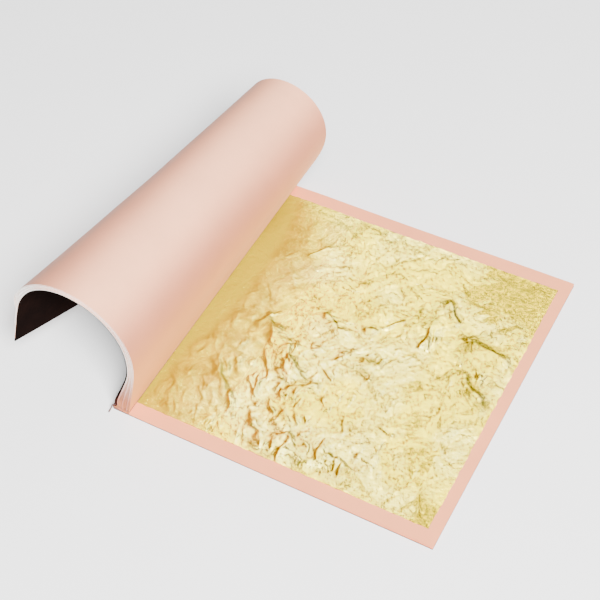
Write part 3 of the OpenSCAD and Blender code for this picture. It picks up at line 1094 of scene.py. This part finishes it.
class BOOKLET_OT_thread(bpy.types.Operator):
    """Make the overcast stitches along the bound edge and the loose end of the thread"""

    bl_idname = "booklet.thread"
    bl_label = "Thread"

    def execute(self, context):
        sizes = context.scene.booklet_sizes
        radius = sizes.thread_d / MM / 2
        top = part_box("cover_strip")[1].z / MM + radius
        low_z = radius + 0.01
        hole, outside = BOUND_X + HOLE_INSET, BOUND_X - radius
        pitch = sizes.stitch_pitch / MM
        stitch = smooth_path([
            (hole, 0, low_z), (hole, 0, top * 0.6), (hole, 0.05, top + 0.02),
            (hole - 0.7, -0.5 * pitch, top + 0.10), (outside + 0.02, -0.93 * pitch, top),
            (outside - 0.02, -pitch, top * 0.5), (outside, -pitch, low_z),
            (hole - 0.5, -pitch, low_z), (hole, -pitch, low_z),
        ])
        vertices, faces = twisted_tube(stitch, radius)
        base = new_piece("one_stitch", vertices, faces, [])
        inset = 0.5
        count = int((PAGE_L - 2 * inset) / pitch) + 1
        tree = stitch_tree(material("binding_thread"))
        modifier = base.modifiers.new("stitches", "NODES")
        modifier.node_group = tree
        named = {i.name: i.identifier for i in tree.interface.items_tree if i.in_out == "INPUT"}
        modifier[named["Stitch Count"]] = count - 1
        modifier[named["Stitch Spacing"]] = sizes.stitch_pitch
        modifier[named["First Stitch"]] = (NEAR_Y + inset) * MM + sizes.stitch_pitch
        modifier[named["Unevenness"]] = 0.02
        bpy.context.view_layer.update()
        ready = base.evaluated_get(bpy.context.evaluated_depsgraph_get())
        mesh = bpy.data.meshes.new_from_object(ready)
        base.modifiers.clear()
        bpy.data.objects.remove(base)
        tail = smooth_path([
            (hole, NEAR_Y + inset, top * 0.6), (BOUND_X + 1.5, NEAR_Y + inset, top + 0.05),
            (BOUND_X + 0.6, NEAR_Y + 0.25, top + 0.25), (BOUND_X + 0.05, NEAR_Y - 0.15, top + 0.25),
            (BOUND_X - 0.15, NEAR_Y - 0.55, top * 0.62), (BOUND_X - 0.3, NEAR_Y - 1.1, 0.55),
            (BOUND_X - 0.45, NEAR_Y - 1.55, low_z),
        ])
        vertices, faces = twisted_tube(tail, radius * 0.95)
        end = new_piece("thread_end", vertices, faces, [material("binding_thread")])
        piece = linked("sewing_thread", mesh)
        join(piece, [end])
        for p in piece.data.polygons:
            p.use_smooth = True
        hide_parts("binding_thread")
        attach(piece, "bound_base")
        return {"FINISHED"}


def join(piece, others):
    """Adds the meshes of others to a piece and removes them."""
    bpy.ops.object.select_all(action="DESELECT")
    for o in others + [piece]:
        o.select_set(True)
    bpy.context.view_layer.objects.active = piece
    bpy.ops.object.join()


class BOOKLET_OT_stage(bpy.types.Operator):
    """Make the pale floor, the soft studio light and the photograph's camera"""

    bl_idname = "booklet.stage"
    bl_label = "Stage"

    def execute(self, context):
        studio = context.scene.booklet_studio
        mesh = bpy.data.meshes.new("floor")
        r = 3.0
        mesh.from_pydata([(-r, -r, 0), (r, -r, 0), (r, r, 0), (-r, r, 0)], [], [(0, 1, 2, 3)])
        mesh.materials.append(material("studio_floor"))
        floor = linked("floor", mesh)
        world = bpy.data.worlds.new("soft room")
        world.use_nodes = True
        world.node_tree.nodes["Background"].inputs["Color"].default_value = (1, 1, 1, 1)
        world.node_tree.nodes["Background"].inputs["Strength"].default_value = studio.room
        context.scene.world = world
        for name, place, size_m, watts in (
            ("key", (0.46, -0.44, 0.77), 0.40, studio.key),
            ("panel", (-0.10, 0.54, 0.84), 0.52, studio.key * 0.40),
        ):
            light = bpy.data.lights.new(name, "AREA")
            light.energy, light.size = watts, size_m
            lamp = linked(name, light)
            lamp.location = place
            lamp.visible_diffuse = name == "key"
            lamp.rotation_euler = (-Vector(place)).to_track_quat("-Z", "Y").to_euler()
        az, el = studio.azimuth, studio.elevation
        back = Vector((math.sin(az) * math.cos(el), -math.cos(az) * math.cos(el), math.sin(el)))
        target = Vector((-0.0188, 0.0078, 0))
        right = (-back).cross(Vector((0, 0, 1))).normalized()
        up = right.cross(-back)
        c, s = math.cos(studio.roll), math.sin(studio.roll)
        axes = Matrix((c * right + s * up, -s * right + c * up, back)).transposed()
        camera_data = bpy.data.cameras.new("photo camera")
        camera_data.sensor_width, camera_data.lens = 36, studio.lens
        camera_data.clip_start = 0.01
        camera = linked("photo_camera", camera_data)
        camera.matrix_world = Matrix.Translation(target + back * studio.distance) @ axes.to_4x4()
        context.scene.camera = camera
        return {"FINISHED"}


OPERATORS = (
    BOOKLET_OT_stage, BOOKLET_OT_covers, BOOKLET_OT_turned_tissues, BOOKLET_OT_turned_leaves,
    BOOKLET_OT_bound_strips, BOOKLET_OT_open_pages, BOOKLET_OT_leaf_in_view, BOOKLET_OT_thread,
)


class BOOKLET_PT_panel(bpy.types.Panel):
    """The booklet's pieces, sizes and colours"""

    bl_label = "Gold Leaf Booklet"
    bl_space_type = "VIEW_3D"
    bl_region_type = "UI"
    bl_category = "Leaf Booklet"

    def draw(self, context):
        for operator in OPERATORS:
            self.layout.operator(operator.bl_idname)
        for group in (context.scene.booklet_sizes, context.scene.booklet_colours,
                      context.scene.booklet_studio):
            for name in group.bl_rna.properties.keys():
                if name not in ("name", "rna_type"):
                    self.layout.prop(group, name)


CLASSES = (BookletSizes, BookletColours, StudioSettings, *OPERATORS, BOOKLET_PT_panel)


def register():
    for c in CLASSES:
        bpy.utils.register_class(c)
    bpy.types.Scene.booklet_sizes = PointerProperty(type=BookletSizes)
    bpy.types.Scene.booklet_colours = PointerProperty(type=BookletColours)
    bpy.types.Scene.booklet_studio = PointerProperty(type=StudioSettings)


def unregister():
    del bpy.types.Scene.booklet_studio
    del bpy.types.Scene.booklet_colours
    del bpy.types.Scene.booklet_sizes
    for c in reversed(CLASSES):
        bpy.utils.unregister_class(c)


def main():
    register()
    for operator in OPERATORS:
        group, name = operator.bl_idname.split(".")
        getattr(getattr(bpy.ops, group), name)()
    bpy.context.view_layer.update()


if __name__ == "__main__":
    main()
